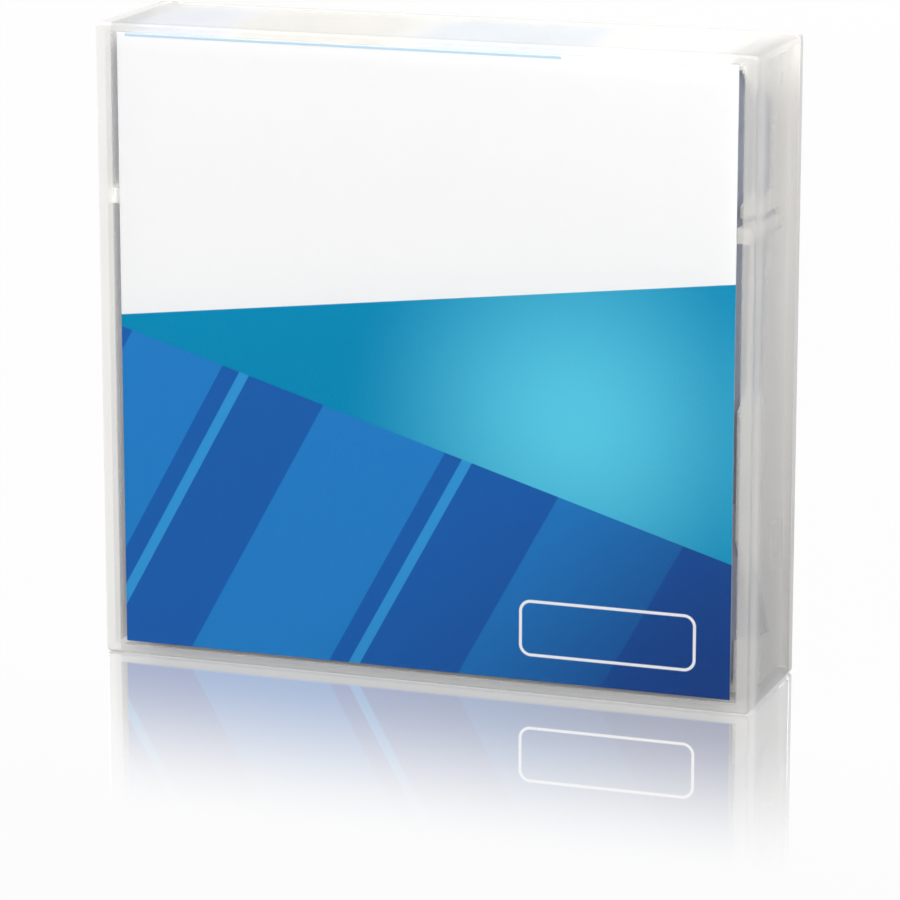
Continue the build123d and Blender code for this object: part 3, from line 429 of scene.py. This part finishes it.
def dress_nodes():
    """Give each solid the material of its slot."""
    looks = {
        "clear_polymer": cover_frost("clear_polymer"),
        "frosted_polymer": tray_frost("frosted_polymer"),
        "printed_card": printed_card("printed_card"),
        "cartridge_shell": moulded("cartridge_shell", "slate", 0.55, 2200.0, 0.12 * MM),
        "plated_steel": metal("plated_steel", "steel", 0.22),
        "reel_plastic": moulded("reel_plastic", "bone", 0.45, 1800.0, 0.06 * MM),
        "magnetic_tape": wound_tape("magnetic_tape"),
        "pale_plastic": moulded("pale_plastic", "bone", 0.4, 2000.0, 0.05 * MM),
        "spring_steel": metal("spring_steel", "wire", 0.34),
        "chip_board": moulded("chip_board", "board", 0.5, 2600.0, 0.04 * MM),
        "slide_plastic": moulded("slide_plastic", "slide", 0.42, 2000.0, 0.06 * MM),
    }
    for subpart in frame["record"]["subparts"]:
        solid = frame["nodes"][subpart["node"]]
        for holder in solid.material_slots:
            holder.material = looks[subpart["material_slot"]]


def seen_directly(nodes, links):
    """1 for rays that show the surroundings themselves, 0 for rays that light the object."""
    path = nodes.new("ShaderNodeLightPath")
    total = path.outputs["Is Camera Ray"]
    for operation, kind in (
        ("MAXIMUM", "Is Glossy Ray"), ("MAXIMUM", "Is Transmission Ray"),
        ("SUBTRACT", "Is Diffuse Ray"), ("SUBTRACT", "Diffuse Depth"),
    ):
        joined = nodes.new("ShaderNodeMath")
        joined.operation = operation
        joined.use_clamp = True
        links.new(total, joined.inputs[0])
        links.new(path.outputs[kind], joined.inputs[1])
        total = joined.outputs[0]
    return total


def surroundings():
    """White surroundings that light the object at a plain level."""
    world = bpy.data.worlds.new("studio")
    bpy.context.scene.world = world
    world.use_nodes = True
    nodes = world.node_tree.nodes
    links = world.node_tree.links
    background = nodes["Background"]
    background.inputs["Color"].default_value = WHITE
    level = nodes.new("ShaderNodeMapRange")
    level.inputs["To Min"].default_value = WORLD_LIGHT
    level.inputs["To Max"].default_value = 1.0
    links.new(seen_directly(nodes, links), level.inputs["Value"])
    links.new(level.outputs[0], background.inputs["Strength"])


def floor():
    """Pale polished floor whose shine fades towards the viewer."""
    bpy.ops.mesh.primitive_plane_add(size=FLOOR_SIZE, location=(0.0, 0.0, -FLOOR_DROP))
    plane = bpy.context.object
    plane.name = "floor"
    graph = Graph("floor")
    _, y, _ = graph.axes()
    matt = graph.shader("ShaderNodeBsdfDiffuse", {"Color": linear("floor")})
    white = graph.shader("ShaderNodeEmission", {"Color": WHITE, "Strength": 1.0})
    ground = graph.blend(graph.both(seen_directly(graph.nodes, graph.links), FLOOR_WHITE), matt, white)
    mirror = graph.shader("ShaderNodeBsdfGlossy", {"Color": WHITE, "Roughness": FLOOR_ROUGHNESS})
    shine = graph.both(graph.ramp(y, FLOOR_SHINE_TO, FLOOR_SHINE_FROM), FLOOR_SHINE)
    plane.data.materials.append(graph.finish(graph.blend(shine, ground, mirror)))


def softbox(name, at, aim, size, power):
    """Square soft lamp pointed at a place, and kept out of reflections."""
    lamp = bpy.data.lights.new(name, "AREA")
    lamp.size = size
    lamp.energy = power
    holder = bpy.data.objects.new(name, lamp)
    holder.location = at
    holder.rotation_euler = (Vector(aim) - Vector(at)).to_track_quat("-Z", "Y").to_euler()
    holder.visible_glossy = False
    bpy.context.collection.objects.link(holder)


def camera():
    """Camera at the photograph's viewing angle."""
    lens = bpy.data.cameras.new("camera")
    lens.sensor_width = CAMERA_SENSOR
    lens.lens = CAMERA_LENS
    holder = bpy.data.objects.new("camera", lens)
    holder.location = CAMERA_AT
    holder.rotation_euler = (CAMERA_TO - CAMERA_AT).to_track_quat("-Z", "Y").to_euler()
    bpy.context.collection.objects.link(holder)
    bpy.context.scene.camera = holder


dress_nodes()
surroundings()
floor()
for lamp_name, lamp_values in LAMPS.items():
    softbox(lamp_name, *lamp_values)
camera()
bpy.context.scene.view_settings.view_transform = "Standard"
